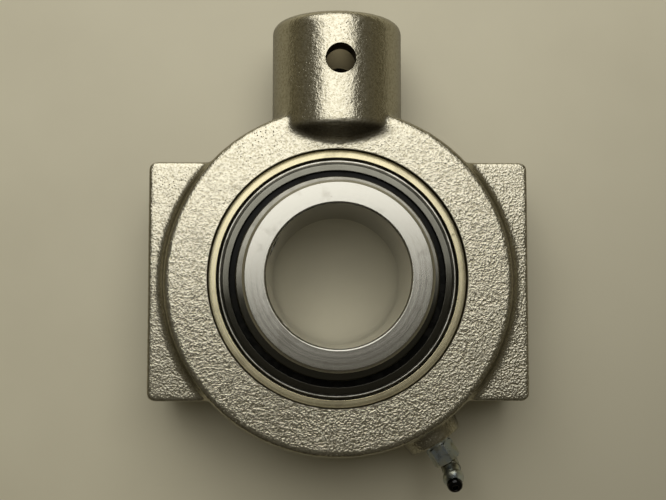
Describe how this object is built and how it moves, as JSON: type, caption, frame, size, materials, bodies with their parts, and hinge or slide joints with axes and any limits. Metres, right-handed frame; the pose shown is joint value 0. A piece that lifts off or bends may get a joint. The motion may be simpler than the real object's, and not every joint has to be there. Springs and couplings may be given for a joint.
{
  "type": "take up bearing unit",
  "caption": "Take-up bearing unit: cast housing with guide slots and a tubular screw nose, a self-aligning ball bearing insert held by set screws, and an angled grease fitting.",
  "frame": {"origin": "on the ground plane under the middle of the unit's box, with the unit lying on its back as in the picture", "axes": "+Z along the bearing's axis towards the inner ring's long side; +Y along the nose, away from the bearing; +X across the slotted sides"},
  "size_m": [0.1186, 0.1496, 0.0512],
  "materials": {
    "cast_housing": "nickel plated over a coarse sand-cast grain",
    "race_steel": "ground and plated, slightly yellow",
    "ground_steel": "fine turned and ground",
    "pressed_steel": "pressed sheet, grey",
    "seal_rubber": "black, greasy",
    "cage_nylon": "moulded nylon",
    "ball_steel": "polished",
    "blackened_steel": "blackened and oiled",
    "fitting_steel": "zinc plated, dull",
    "spring_wire": "drawn wire"
  },
  "bodies": {
    "housing": {"housing": "cast_housing", "grease_fitting": "fitting_steel", "grease_spring": "spring_wire"},
    "bearing_outer": {"outer_ring": "race_steel", "seal_shield_front": "pressed_steel", "seal_shield_rear": "pressed_steel", "seal_lip_front": "seal_rubber", "seal_lip_rear": "seal_rubber"},
    "bearing_inner": {"inner_ring": "ground_steel", "slinger_front": "pressed_steel", "slinger_rear": "pressed_steel"},
    "bearing_cage": {"ball_cage": "cage_nylon"},
    "ball_1_body": {"ball_1": "ball_steel"},
    "ball_2_body": {"ball_2": "ball_steel"},
    "ball_3_body": {"ball_3": "ball_steel"},
    "ball_4_body": {"ball_4": "ball_steel"},
    "ball_5_body": {"ball_5": "ball_steel"},
    "ball_6_body": {"ball_6": "ball_steel"},
    "ball_7_body": {"ball_7": "ball_steel"},
    "ball_8_body": {"ball_8": "ball_steel"},
    "ball_9_body": {"ball_9": "ball_steel"},
    "set_screw_1_body": {"set_screw_1": "blackened_steel"},
    "set_screw_2_body": {"set_screw_2": "blackened_steel"},
    "check_ball_body": {"grease_check_ball": "ball_steel"}
  },
  "joints": [
    {"name": "align_swivel", "type": "hinge", "parent": "housing", "child": "bearing_outer", "pos_m": [-0.0003, -0.00821, 0.021], "axis": [1, 0, 0], "range_deg": [-2, 2]},
    {"name": "shaft_spin", "type": "hinge", "parent": "bearing_outer", "child": "bearing_inner", "pos_m": [-0.0003, -0.00821, 0.021], "axis": [0, 0, 1], "continuous": true},
    {"name": "cage_orbit", "type": "hinge", "parent": "bearing_outer", "child": "bearing_cage", "pos_m": [-0.0003, -0.00821, 0.021], "axis": [0, 0, 1], "continuous": true},
    {"name": "ball_1_spin", "type": "hinge", "parent": "bearing_cage", "child": "ball_1_body", "pos_m": [0.0322, -0.00821, 0.021], "axis": [0, 0, 1], "continuous": true},
    {"name": "ball_2_spin", "type": "hinge", "parent": "bearing_cage", "child": "ball_2_body", "pos_m": [0.0246, 0.01268, 0.021], "axis": [0, 0, 1], "continuous": true},
    {"name": "ball_3_spin", "type": "hinge", "parent": "bearing_cage", "child": "ball_3_body", "pos_m": [0.00534, 0.02379, 0.021], "axis": [0, 0, 1], "continuous": true},
    {"name": "ball_4_spin", "type": "hinge", "parent": "bearing_cage", "child": "ball_4_body", "pos_m": [-0.01655, 0.01993, 0.021], "axis": [0, 0, 1], "continuous": true},
    {"name": "ball_5_spin", "type": "hinge", "parent": "bearing_cage", "child": "ball_5_body", "pos_m": [-0.03084, 0.0029, 0.021], "axis": [0, 0, 1], "continuous": true},
    {"name": "ball_6_spin", "type": "hinge", "parent": "bearing_cage", "child": "ball_6_body", "pos_m": [-0.03084, -0.01933, 0.021], "axis": [0, 0, 1], "continuous": true},
    {"name": "ball_7_spin", "type": "hinge", "parent": "bearing_cage", "child": "ball_7_body", "pos_m": [-0.01655, -0.03636, 0.021], "axis": [0, 0, 1], "continuous": true},
    {"name": "ball_8_spin", "type": "hinge", "parent": "bearing_cage", "child": "ball_8_body", "pos_m": [0.00534, -0.04022, 0.021], "axis": [0, 0, 1], "continuous": true},
    {"name": "ball_9_spin", "type": "hinge", "parent": "bearing_cage", "child": "ball_9_body", "pos_m": [0.0246, -0.0291, 0.021], "axis": [0, 0, 1], "continuous": true},
    {"name": "set_screw_1_feed", "type": "slide", "parent": "bearing_inner", "child": "set_screw_1_body", "axis": [0.9063, -0.4226, 0], "range_m": [-0.0015, 0.0015]},
    {"name": "set_screw_2_feed", "type": "slide", "parent": "bearing_inner", "child": "set_screw_2_body", "axis": [0.766, 0.6428, 0], "range_m": [-0.0015, 0.0015]},
    {"name": "check_ball_lift", "type": "slide", "parent": "housing", "child": "check_ball_body", "axis": [-0.0208, 0.4829, -0.8754], "range_m": [0, 0.0008], "stiffness_N_per_m": 200, "springref_m": -0.0005, "deforming": ["grease_spring"]}
  ],
  "couplings": [
    {"joint": "cage_orbit", "follows": "shaft_spin", "ratio": 0.4023},
    {"joint": "ball_1_spin", "follows": "shaft_spin", "ratio": -2.4614},
    {"joint": "ball_2_spin", "follows": "shaft_spin", "ratio": -2.4614},
    {"joint": "ball_3_spin", "follows": "shaft_spin", "ratio": -2.4614},
    {"joint": "ball_4_spin", "follows": "shaft_spin", "ratio": -2.4614},
    {"joint": "ball_5_spin", "follows": "shaft_spin", "ratio": -2.4614},
    {"joint": "ball_6_spin", "follows": "shaft_spin", "ratio": -2.4614},
    {"joint": "ball_7_spin", "follows": "shaft_spin", "ratio": -2.4614},
    {"joint": "ball_8_spin", "follows": "shaft_spin", "ratio": -2.4614},
    {"joint": "ball_9_spin", "follows": "shaft_spin", "ratio": -2.4614}
  ]
}
